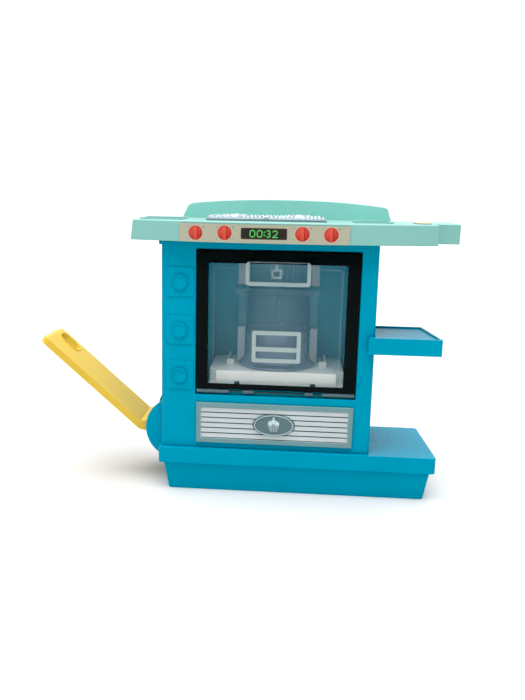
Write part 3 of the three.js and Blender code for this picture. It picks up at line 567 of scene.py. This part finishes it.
PANE = clear_plastic("door_styrene", pigment(170, 216, 232), 0.06, 0.1)
PULL = clear_plastic("pull_styrene", pigment(206, 226, 228), 0.34, 0.12)
BLACK = moulded_plastic("black_gloss_frame", pigment(20, 24, 24), 0.2, drift=0.1, grain=0.02,
                        settings={"Specular IOR Level": 0.14})

# The pane's foot, with the knuckles, is a thick bar. It is darker and less clear than the window, and
# the change runs over 0.6 mm of height.
pane_tree = PANE.node_tree
pane_place = pane_tree.nodes.new("ShaderNodeTexCoord")
pane_parts = pane_tree.nodes.new("ShaderNodeSeparateXYZ")
pane_tree.links.new(pane_place.outputs["Object"], pane_parts.inputs["Vector"])
pane_shader = pane_tree.nodes["Principled BSDF"]
thick_foot = pane_tree.nodes.new("ShaderNodeMapRange")
for socket, value in (("From Min", 0.1088), ("From Max", 0.1094), ("To Min", 0.8), ("To Max", 0.06)):
    thick_foot.inputs[socket].default_value = value
pane_tree.links.new(pane_parts.outputs["Z"], thick_foot.inputs["Value"])
pane_tree.links.new(thick_foot.outputs["Result"], pane_shader.inputs["Alpha"])
foot_tint = pane_tree.nodes.new("ShaderNodeMix")
foot_tint.data_type = "RGBA"
foot_tint.inputs[7].default_value = pigment(40, 52, 52)
pane_tree.links.new(pane_shader.inputs["Base Color"].links[0].from_socket, foot_tint.inputs[6])
pane_tree.links.new(thick_foot.outputs["Result"], foot_tint.inputs["Factor"])
pane_tree.links.new(foot_tint.outputs[2], pane_shader.inputs["Base Color"])
moulded("door_panel", "door", "clear_plastic", PANE, 0.3)
moulded("door_frame", "door", "black_frame", BLACK, 0.35)
moulded("door_handle", "door", "clear_plastic", PULL, 0.7, 3)
DARK_STEEL = plated_steel("blackened_steel", pigment(70, 74, 76), 0.35)
pin("hinge_rod", "cabinet", "x", DARK_STEEL)

# A thin clear bar closes the pull's two uprights at the top, on the face of the black frame: a half
# circle carried along X.
frame_low, _, _ = middle("door_frame")
PULL_TOP = {"x": (-54.5, 6.1), "z": 238.4, "rise": 0.5}
around = np.radians(np.linspace(0, 180, 9))
bar_x = np.array(PULL_TOP["x"])[:, None]
bar = np.stack([
    bar_x + 0 * around,
    frame_low[1] - PULL_TOP["rise"] * np.sin(around) + 0 * bar_x,
    PULL_TOP["z"] + PULL_TOP["rise"] * np.cos(around) + 0 * bar_x,
], -1)
surface("door_pull_top", [patch(bar, round_columns=True, capped=True)], PULL, "door", "clear_plastic")

# The step inside the window is a low bead carried round a rounded rectangle on the pane's face.
STEP_LINE = {"x": (-87.6, 38.3), "z": (118.4, 232.0), "radius": 3}
PANE_FRONT = -49.2
PANE_EDGE = clear_plastic("door_edge_styrene", pigment(190, 220, 228), 0.12, 0.3)
step_loop, step_out = rounded_loop(*STEP_LINE["x"], *STEP_LINE["z"], STEP_LINE["radius"])
step_line = laid(bead(step_loop, step_out, 0.3, 0.25, 0.1), "-y", (0, PANE_FRONT, 0))
surface("door_step_line", [patch(step_line, round_rows=True, round_columns=True)], PANE_EDGE, "door",
        "clear_plastic")

# ---- Vent ----------------------------------------------------------------------------------
# A silver-lacquered plate under the door: a sunk field of six louvres in a plain border, and an
# oval badge on a stud with a cake in relief.


def lacquer(name, colour, roughness):
    """Silver paint on plastic: a partly metallic body with a fine grain, under a thin clear coat."""
    coat = {"Metallic": 0.35, "Coat Weight": 0.3, "Coat Roughness": 0.15}
    return moulded_plastic(name, colour, roughness, drift=0.06, grain=0.1, settings=coat)


vent_low, vent_middle, vent_high = middle("vent_plate")
vent_half_u, vent_thick, vent_half_v = (vent_high - vent_low) * [0.5, 1, 0.5]
VENT = {"border": 5.0, "slats": 6, "groove": 0.35}


def vent_edge(u, v):
    """How far a point is inside the plate's outline, in millimetres."""
    return np.minimum(vent_half_u - np.abs(u), vent_half_v - np.abs(v))


def vent_height(u, v):
    """Full thickness on the border; inside, louvres from 0.9 mm to 1.6 mm high, rising towards their
    lower edges, with a groove between each and the next."""
    half_u, half_v = vent_half_u - VENT["border"], vent_half_v - VENT["border"]
    inside = step(half_u - np.abs(u), 0, 0.25) * step(half_v - np.abs(v), 0, 0.25)
    share = ((half_v - v) * VENT["slats"] / (2 * half_v)) % 1
    louvre = 0.9 + 0.7 * share
    field = VENT["groove"] + (louvre - VENT["groove"]) * step(0.5 - np.abs(share - 0.5), 0.1, 0.04)
    border = vent_thick - 0.5 * (1 - np.clip(vent_edge(u, v) / 0.5, 0, 1)) ** 2
    return border * (1 - inside) + field * inside


up = np.linspace(-vent_half_v, vent_half_v, 420)
across = np.concatenate([
    np.linspace(-vent_half_u, -vent_half_u + 6, 30),
    np.linspace(-vent_half_u + 7, vent_half_u - 7, 40),
    np.linspace(vent_half_u - 6, vent_half_u, 30),
])
vent = relief(across, up, vent_height)
# The vent's tones: grey on the border, its own colour, and dark in the grooves between the louvres, which is
# painted shade in the recesses.
on_border = vent_edge(vent[..., :1], vent[..., 1:2]) < VENT["border"] - 0.3
in_shaded_groove = vent[..., 2:] < 0.6
vent_tones_and_groove_shade = np.where(in_shaded_groove, pigment(60, 78, 84), pigment(186, 197, 199))
vent_tones_and_groove_shade = np.where(on_border, pigment(106, 144, 148), vent_tones_and_groove_shade)


def toned(material, label):
    """Takes the base colour from the piece's colour attribute, mottled by the noise already there: printed
    ink on the film, painted shade in the hollows of the vent, badge and hob.
    """
    tree = material.node_tree
    shader = tree.nodes["Principled BSDF"]
    ink = tree.nodes.new("ShaderNodeVertexColor")
    ink.layer_name = label
    blend = tree.nodes.new("ShaderNodeMix")
    blend.data_type = "RGBA"
    blend.blend_type = "MULTIPLY"
    blend.inputs["Factor"].default_value = 1.0
    mottle = shader.inputs["Base Color"].links[0].from_socket
    tree.links.new(ink.outputs["Color"], blend.inputs[6])
    tree.links.new(mottle, blend.inputs[7])
    tree.links.new(blend.outputs[2], shader.inputs["Base Color"])
    return material


VENT_LACQUER_AND_SHADE = toned(lacquer("vent_lacquer", (0.94, 0.94, 0.94), 0.38), "tone_and_shade")
vent_plate = patch(laid(vent, "-y", (vent_middle[0], vent_high[1], vent_middle[2])), round_columns=True,
                   capped=True)
surface("vent_plate_pressed", [vent_plate], VENT_LACQUER_AND_SHADE, "cabinet", "silver_plastic", "vent_plate", crease=30,
        attributes=[("tone_and_shade", vent_tones_and_groove_shade)])

badge_low, badge_middle, _ = middle("badge")
BADGE = {"half_u": 21.5, "half_v": 11.5, "thick": 2.2, "stud": 2.4}


def cake_depths(u, v):
    """How far a point is inside each part of a cake, in millimetres: a cup that narrows downwards, three
    round tiers of cream, joined by taking the larger, and a cherry."""
    cup = np.minimum(5.6 + 0.22 * (v + 3) - np.abs(u), np.minimum(v + 7, 0.4 - v))
    tiers = [3.4 - np.hypot(u - x, v - y) for x, y in ((-3.2, 1.8), (3.2, 1.8), (0, 3.6))]
    cherry = 1.5 - np.hypot(u, v - 7.6)
    return cup, np.maximum.reduce(tiers), cherry


def badge_face(share, turn):
    """Points over the oval: a rolled rim, a field 1 mm lower, and the cake about 0.8 mm proud of the field
    with a fluted cup."""
    u = BADGE["half_u"] * share * np.cos(turn)
    v = BADGE["half_v"] * share * np.sin(turn)
    rim = np.exp(-(((share - 0.9) / 0.045) ** 2))
    cup, cream, cherry = cake_depths(u, v - 0.2)
    flutes = 0.25 * np.cos(2 * np.pi * u / 1.7)
    body = (0.7 + flutes) * step(cup, 0.3, 0.5) * (1 - step(cream, 0.3, 0.4))
    tiers = (0.5 + 0.35 * np.clip(cream, 0, 2)) * step(cream, 0.2, 0.4)
    height = 0.9 + rim + body + tiers + 1.1 * step(cherry, 0.3, 0.6)
    height = np.minimum(height, BADGE["thick"] - 0.05) * np.clip((1 - share) / 0.03, 0, 1) ** 0.5
    return np.stack([u, v, height], -1)


def blend_painted_shade(low, high, share):
    """A painted shade from `low` to `high` for each point, by its share."""
    return np.array(low) * (1 - share) + np.array(high) * share


# The badge is rings of the oval from its middle out, then a flat back; the stud is a turned peg.
BADGE_LACQUER_AND_SHADE = toned(lacquer("badge_lacquer", (0.94, 0.94, 0.94), 0.4), "tone_and_shade")
oval_share = np.concatenate([np.linspace(0, 0.84, 70), np.linspace(0.85, 1, 24)])[:, None]
oval = badge_face(oval_share, np.linspace(0, 2 * np.pi, 180, endpoint=False))
badge = np.concatenate([oval, oval[-1:] * [1, 1, 0], oval[-1:] * 0])
stud = rings([0, 2.5, 2.5, 0], [-BADGE["stud"], -BADGE["stud"], 0, 0], 24)
badge_rise = np.concatenate([badge.reshape(-1, 3), stud.reshape(-1, 3)])[:, 2:]
# The badge is painted darker the lower its relief lies: painted shade on the sunk field of the one silver
# lacquer.
badge_painted_shade = blend_painted_shade(pigment(88, 112, 118), pigment(190, 206, 208), step(badge_rise, 1.7, 0.8))
badge_foot = (badge_middle[0], badge_low[1] + BADGE["thick"], badge_middle[2])
badge_parts = [patch(laid(part, "-y", badge_foot), round_columns=True) for part in (badge, stud)]
surface("badge_pressed", badge_parts, BADGE_LACQUER_AND_SHADE, "cabinet", "silver_plastic", "badge", crease=50,
        attributes=[("tone_and_shade", badge_painted_shade)])

# ---- Side shelf ----------------------------------------------------------------------------
# An open-bottomed teal moulding that hooks round the cabinet's front corner, sunk on top inside a
# rim, held by two screws from within.

moulded("side_shelf", "cabinet", "teal_plastic", TEAL, 1.0, 3)
screw("shelf_screw_1", "-x", "cabinet")
screw("shelf_screw_2", "-x", "cabinet")

# ---- Counter -------------------------------------------------------------------------------
# A shallow mint tray, upside down over the cabinet, with a bowed front, two sunk dishes and an
# arched splashback. A printed film strip on its front shows four knobs and a clock.

# The counter and the splashback are one mint plastic in two shades: the splashback's paler copy is painted
# light from above.
MINT = moulded_plastic("mint_polystyrene", pigment(125, 181, 173), 0.36, drift=0.03,
                       settings={"Specular IOR Level": 0.5})
MINT_PAINTED_LIGHTER = moulded_plastic("mint_polystyrene_painted_lighter", pigment(148, 213, 204), 0.36, drift=0.03)
moulded("counter_top", "cabinet", "mint_plastic", MINT, 1.1, 3)
moulded("backsplash", "cabinet", "mint_plastic", MINT_PAINTED_LIGHTER, 1.0, 3)

# The control strip is a printed film that follows the counter's bowed front.
label_low, _, label_high = middle("control_label")
BOW = {"middle": -20, "half": 148, "end": -52, "depth": 20}
LABEL_CLEAR = 0.6
LABEL_THICK = 0.8


def bow_front(x):
    """Where the counter's front is, in Y: its ends' place less the bow, which falls off as x squared."""
    return BOW["end"] - BOW["depth"] * (1 - ((x - BOW["middle"]) / BOW["half"]) ** 2)


def stroke(u, v, a, b, width):
    """How far a point is inside a round-ended stroke from a to b, in millimetres."""
    a, b = np.array(a), np.array(b)
    run = b - a
    t = np.clip(((u - a[0]) * run[0] + (v - a[1]) * run[1]) / (run @ run), 0, 1)
    return width / 2 - np.hypot(u - a[0] - t * run[0], v - a[1] - t * run[1])


def bow(u, v, centre, radius, start, sweep, width):
    """The same for an arc, swept anticlockwise through `sweep` degrees from `start`: the distance to the
    circle within the sweep, and to the nearer end outside it."""
    du, dv = u - centre[0], v - centre[1]
    within = (np.degrees(np.arctan2(dv, du)) - start) % 360 <= sweep
    ends = [radius * np.array([math.cos(t), math.sin(t)]) for t in np.radians([start, start + sweep])]
    beyond = np.minimum.reduce([np.hypot(du - end[0], dv - end[1]) for end in ends])
    return width / 2 - np.where(within, np.abs(np.hypot(du, dv) - radius), beyond)


LINE = 1.0
FIGURES = {  # each round clock figure in millimetres about its middle, 6.2 high between line middles
    "0": lambda u, v: [
        bow(u, v, (0, 0.8), 2.3, 0, 180, LINE),
        bow(u, v, (0, -0.8), 2.3, 180, 180, LINE),
        stroke(u, v, (-2.3, 0.8), (-2.3, -0.8), LINE),
        stroke(u, v, (2.3, 0.8), (2.3, -0.8), LINE),
    ],
    "2": lambda u, v: [
        bow(u, v, (0, 1.1), 2.0, -35, 195, LINE),
        stroke(u, v, (1.64, -0.05), (-2, -3.1), LINE),
        stroke(u, v, (-2, -3.1), (2.1, -3.1), LINE),
    ],
    "3": lambda u, v: [
        bow(u, v, (-0.2, 1.55), 1.55, -90, 235, LINE),
        bow(u, v, (-0.2, -1.45), 1.65, -145, 235, LINE),
    ],
}
KNOB_SPOTS = [(-104.1, 266.4), (-75.9, 267.0), (-2.4, 267.2), (24.6, 267.0)]
CLOCK = {"middle": (-38.5, 266.9), "half": (21.8, 5.3), "radius": 1.2}
CLOCK_FIGURES = [("0", -10.8), ("0", -4.0), ("3", 4.4), ("2", 10.5)]
CLOCK_COLON = [(0.5, -1.5), (0.5, 1.5)]
INKS = {
    "champagne": (168, 168, 148),
    "halo": (206, 204, 190),
    "red": (178, 50, 40),
    "lit red": (208, 82, 66),
    "deep red": (140, 30, 26),
    "grip": (216, 96, 78),
    "grip shadow": (132, 30, 26),
    "dot": (92, 88, 74),
    "clock face": (36, 32, 26),
    "clock bezel": (62, 56, 46),
    "green": (86, 190, 96),
}


def inked(under, ink, cover):
    """The printing with one more ink laid over it, as thickly as `cover` says."""
    return under + (np.array(pigment(*INKS[ink])) - under) * cover[..., None]


def knob_ink(ink, u, v):
    """A red disc shaded round, lit from above and the left, with an upright grip, a pale halo and four
    small dots about it."""
    reach = np.hypot(u, v)
    disc = step(6.9 - reach, 0, 0.3)
    ink = inked(ink, "halo", step(7.4 - reach, 0, 0.3) * 0.5)
    ink = inked(ink, "red", disc)
    ink = inked(ink, "lit red", disc * np.clip(0.45 + v / 9 - u / 20, 0, 0.8))
    ink = inked(ink, "deep red", disc * np.clip(reach / 6.9, 0, 1) ** 6 * 0.5)
    ink = inked(ink, "grip", step(1.6 - np.abs(u), 0, 0.5) * step(6.2 - reach, 0, 0.4) * 0.45)
    ink = inked(ink, "grip shadow", step(0.6 - np.abs(u - 2.1), 0, 0.5) * step(6 - reach, 0, 0.4) * 0.7)
    for angle, strength in ((35, 0.95), (145, 0.45), (215, 0.45), (325, 0.45)):
        dot = np.hypot(u - 9.4 * math.cos(math.radians(angle)), v - 9.4 * math.sin(math.radians(angle)))
        ink = inked(ink, "dot", step(0.65 - dot, 0, 0.3) * strength)
    return ink


def clock_ink(ink, u, v):
    """A dark face with rounded corners, a paler bezel line inside it, and green figures: minutes and
    seconds with a colon between."""
    radius = CLOCK["radius"]
    past_u = np.abs(u) - CLOCK["half"][0] + radius
    past_v = np.abs(v) - CLOCK["half"][1] + radius
    corner = np.hypot(np.maximum(past_u, 0), np.maximum(past_v, 0))
    inside = radius - corner - np.minimum(np.maximum(past_u, past_v), 0)
    ink = inked(ink, "clock face", step(inside, 0, 0.3))
    ink = inked(ink, "clock bezel", step(inside, 0.8, 0.3) * (1 - step(inside, 1.3, 0.3)) * 0.5)
    for figure, shift in CLOCK_FIGURES:
        ink = inked(ink, "green", step(np.maximum.reduce(FIGURES[figure](u - shift, v)), 0, 0.3))
    for dot_u, dot_v in CLOCK_COLON:
        ink = inked(ink, "green", step(0.75 - np.hypot(u - dot_u, v - dot_v), 0, 0.3))
    return ink


def label_ink(x, z):
    """The film's printing: champagne that drifts by 3 per cent along its length, four knobs and a clock.
    Each shape's edge is a slope a third of a millimetre wide."""
    ink = np.broadcast_to(np.array(pigment(*INKS["champagne"])), x.shape + (4,))
    ink = ink * (1 + 0.03 * np.sin(x / 23)[..., None])
    for knob_x, knob_z in KNOB_SPOTS:
        ink = knob_ink(ink, x - knob_x, z - knob_z)
    return clock_ink(ink, x - CLOCK["middle"][0], z - CLOCK["middle"][1])


def label_section():
    """The film as a section carried along X: its face follows the bow with fine points up its height, and
    its back is two more."""
    x = np.linspace(label_low[0], label_high[0], 640)[:, None]
    z = np.linspace(label_low[2], label_high[2], 70)
    face_y = bow_front(x) - LABEL_CLEAR - LABEL_THICK
    face = np.stack([x + 0 * z, face_y + 0 * z, z + 0 * x], -1)
    back_z = np.array([label_high[2], label_low[2]])
    back = np.stack([x + 0 * back_z, face_y + LABEL_THICK + 0 * back_z, back_z + 0 * x], -1)
    return np.concatenate([face, back], axis=1)


LABEL_FILM = toned(moulded_plastic("printed_film", (0.97, 0.97, 0.97), 0.34, drift=0.03, grain=0.02), "ink")
film = label_section()
surface("control_label_printed", [patch(film, round_columns=True, capped=True)], LABEL_FILM, "cabinet",
        "label_film", "control_label", attributes=[("ink", label_ink(film[..., 0], film[..., 2]))])

# The chopping board is a printed film let into the counter's right end: pale wood with its grain.
TAN = moulded_plastic("wood_print_film", pigment(206, 186, 156), 0.5, drift=0.08)
board_tree = TAN.node_tree
board_ramp = next(node for node in board_tree.nodes if node.type == "VALTORGB")
board_tree.links.new(noise_field(board_tree, 60, 4, (8, 1, 1)), board_ramp.inputs["Fac"])
moulded("board_label", "cabinet", "tan_film", TAN, 0.15)

# ---- Hob -----------------------------------------------------------------------------------
# One vacuum-metallised plate on the counter, pressed with four burners, their pan rests, and beads
# and flourishes between them.

hob_low, hob_middle, hob_high = middle("hob_plate")
hob_half_u, hob_half_v, hob_top = (hob_high - hob_low) * [0.5, 0.5, 1]
PLATE = 2.4
BURNERS = [(x - hob_middle[0], y - hob_middle[1]) for x in (-71, -6) for y in (-20, 8)]


def hob_height(u, v):
    """Plate height with a rolled edge and a rope bead inside it, plus for each burner a ring, a domed cap
    with a dip, and six pan rests; plus a row of beads down the middle with a wavy line on each side."""
    edge = np.minimum(hob_half_u - np.abs(u), hob_half_v - np.abs(v))
    height = PLATE - (1 - np.clip(edge / 1.2, 0, 1)) ** 2
    height = height + (1.5 + 0.7 * np.cos(1.6 * (u + v))) * np.exp(-(((edge - 3) / 0.9) ** 2))
    for x, y in BURNERS:
        du, dv = u - x, v - y
        reach, turn = np.hypot(du, dv), np.arctan2(dv, du)
        ring = 2.2 * np.exp(-(((reach - 10) / 1.0) ** 4))
        cap = (1.7 - 1.0 * np.exp(-((reach / 1.6) ** 2))) * step(5.2 - reach, 0, 0.8)
        rest = np.abs(((turn * 6 / (2 * np.pi) + 0.5) % 1) - 0.5) * reach * 2 * np.pi / 6
        rests = 2.7 * step(0.75 - rest, 0, 0.4) * step(reach, 6.2, 0.6) * step(13.2 - reach, 0, 0.6)
        height = height + np.maximum.reduce([ring, cap, rests])
    bead_v = ((v + 3.5) % 7) - 3.5
    beads = 2.4 * np.sqrt(np.clip(1 - (np.hypot(u, bead_v) / 2.4) ** 2, 0, 1))
    wave = np.abs(u) - 9 - 3.2 * np.sin(v / 3.6)
    swirl = 2.2 * np.exp(-(wave**2)) * step(22 - np.abs(v), 0, 2)
    return np.minimum(height + beads + swirl, hob_top)


CHROME = toned(moulded_plastic("metallised_plastic", (0.94, 0.94, 0.94), 0.3, drift=0.06, grain=0.04,
                               settings={"Metallic": 0.5}), "tone_and_shade")
hob = relief(np.linspace(-hob_half_u, hob_half_u, 340), np.linspace(-hob_half_v, hob_half_v, 170), hob_height)
# The plate is painted darker where its relief lies below about 3.6 mm: painted shade in the hollows of the
# one metallised finish.
hob_painted_shade = blend_painted_shade(pigment(108, 128, 134), pigment(194, 206, 208), step(hob[..., 2:], 3.6, 2.0))
hob_plate = patch(laid(hob, "z", (hob_middle[0], hob_middle[1], hob_low[2])), round_columns=True, capped=True)
surface("hob_plate_pressed", [hob_plate], CHROME, "cabinet", "silver_plastic", "hob_plate", crease=60,
        attributes=[("tone_and_shade", hob_painted_shade)])

# ---- Studio --------------------------------------------------------------------------------
# The toy stands on a wide pale table in a white room, under a broad soft light from above and a little
# in front, with a small weak lamp in front on the left. It is seen from a little above and to the right
# of its middle.

floor_mesh = bpy.data.meshes.new("table")
floor_mesh.from_pydata([(-6, -6, 0), (6, -6, 0), (6, 6, 0), (-6, 6, 0)], [], [(0, 1, 2, 3)])
floor = bpy.data.objects.new("table", floor_mesh)
bpy.context.scene.collection.objects.link(floor)
floor_mesh.materials.append(moulded_plastic("table_paint", pigment(220, 220, 220), 0.6, drift=0.005))

# The room is at its full brightness where it is seen or mirrored, and weaker as a light.
world = bpy.data.worlds.new("white_room")
world.use_nodes = True
sky = world.node_tree.nodes["Background"]
sky.inputs["Color"].default_value = (1, 1, 1, 1)
seen = world.node_tree.nodes.new("ShaderNodeLightPath")
glow = world.node_tree.nodes.new("ShaderNodeMapRange")
glow.inputs["To Min"].default_value = 0.27
glow.inputs["To Max"].default_value = 1.1
either = world.node_tree.nodes.new("ShaderNodeMath")
either.operation = "MAXIMUM"
world.node_tree.links.new(seen.outputs["Is Camera Ray"], either.inputs[0])
world.node_tree.links.new(seen.outputs["Is Glossy Ray"], either.inputs[1])
world.node_tree.links.new(either.outputs[0], glow.inputs["Value"])
world.node_tree.links.new(glow.outputs["Result"], sky.inputs["Strength"])
bpy.context.scene.world = world
grading = bpy.context.scene.view_settings
grading.view_transform = "Standard"
grading.use_curve_mapping = True
grading.curve_mapping.black_level = (0.018, 0.018, 0.018)
grading.curve_mapping.update()

sun = bpy.data.lights.new("window", "SUN")
sun.energy = 4.8
sun.angle = math.radians(70)
sun_holder = bpy.data.objects.new("window", sun)
sun_holder.rotation_euler = (math.radians(8), 0, math.radians(-12))
bpy.context.scene.collection.objects.link(sun_holder)

LAMP_PLACE, LAMP_AIM = Vector((-0.5, -1.5, 0.9)), Vector((0, 0, 0.14))
lamp = bpy.data.lights.new("front_lamp", "AREA")
lamp.size = 0.8
lamp.energy = 3
lamp_holder = bpy.data.objects.new("front_lamp", lamp)
lamp_holder.location = LAMP_PLACE
lamp_holder.rotation_euler = (LAMP_AIM - LAMP_PLACE).to_track_quat("-Z", "Y").to_euler()
bpy.context.scene.collection.objects.link(lamp_holder)

camera = bpy.data.cameras.new("camera")
camera.sensor_width = 36
camera.lens = 38.69
camera.shift_x = 0.0452
camera.shift_y = -0.001
camera.clip_start = 0.01
camera_holder = bpy.data.objects.new("camera", camera)
CAMERA_PLACE = Vector((-0.0089, -0.7869, 0.3028))
YAW, PITCH, ROLL = math.radians(4.709), math.radians(-11.64), math.radians(0.996)
camera_holder.matrix_world = (
    Matrix.Translation(CAMERA_PLACE)
    @ Matrix.Rotation(YAW, 4, "Z")
    @ Matrix.Rotation(math.pi / 2 + PITCH, 4, "X")
    @ Matrix.Rotation(ROLL, 4, "Z")
)
bpy.context.scene.collection.objects.link(camera_holder)
bpy.context.scene.camera = camera_holder
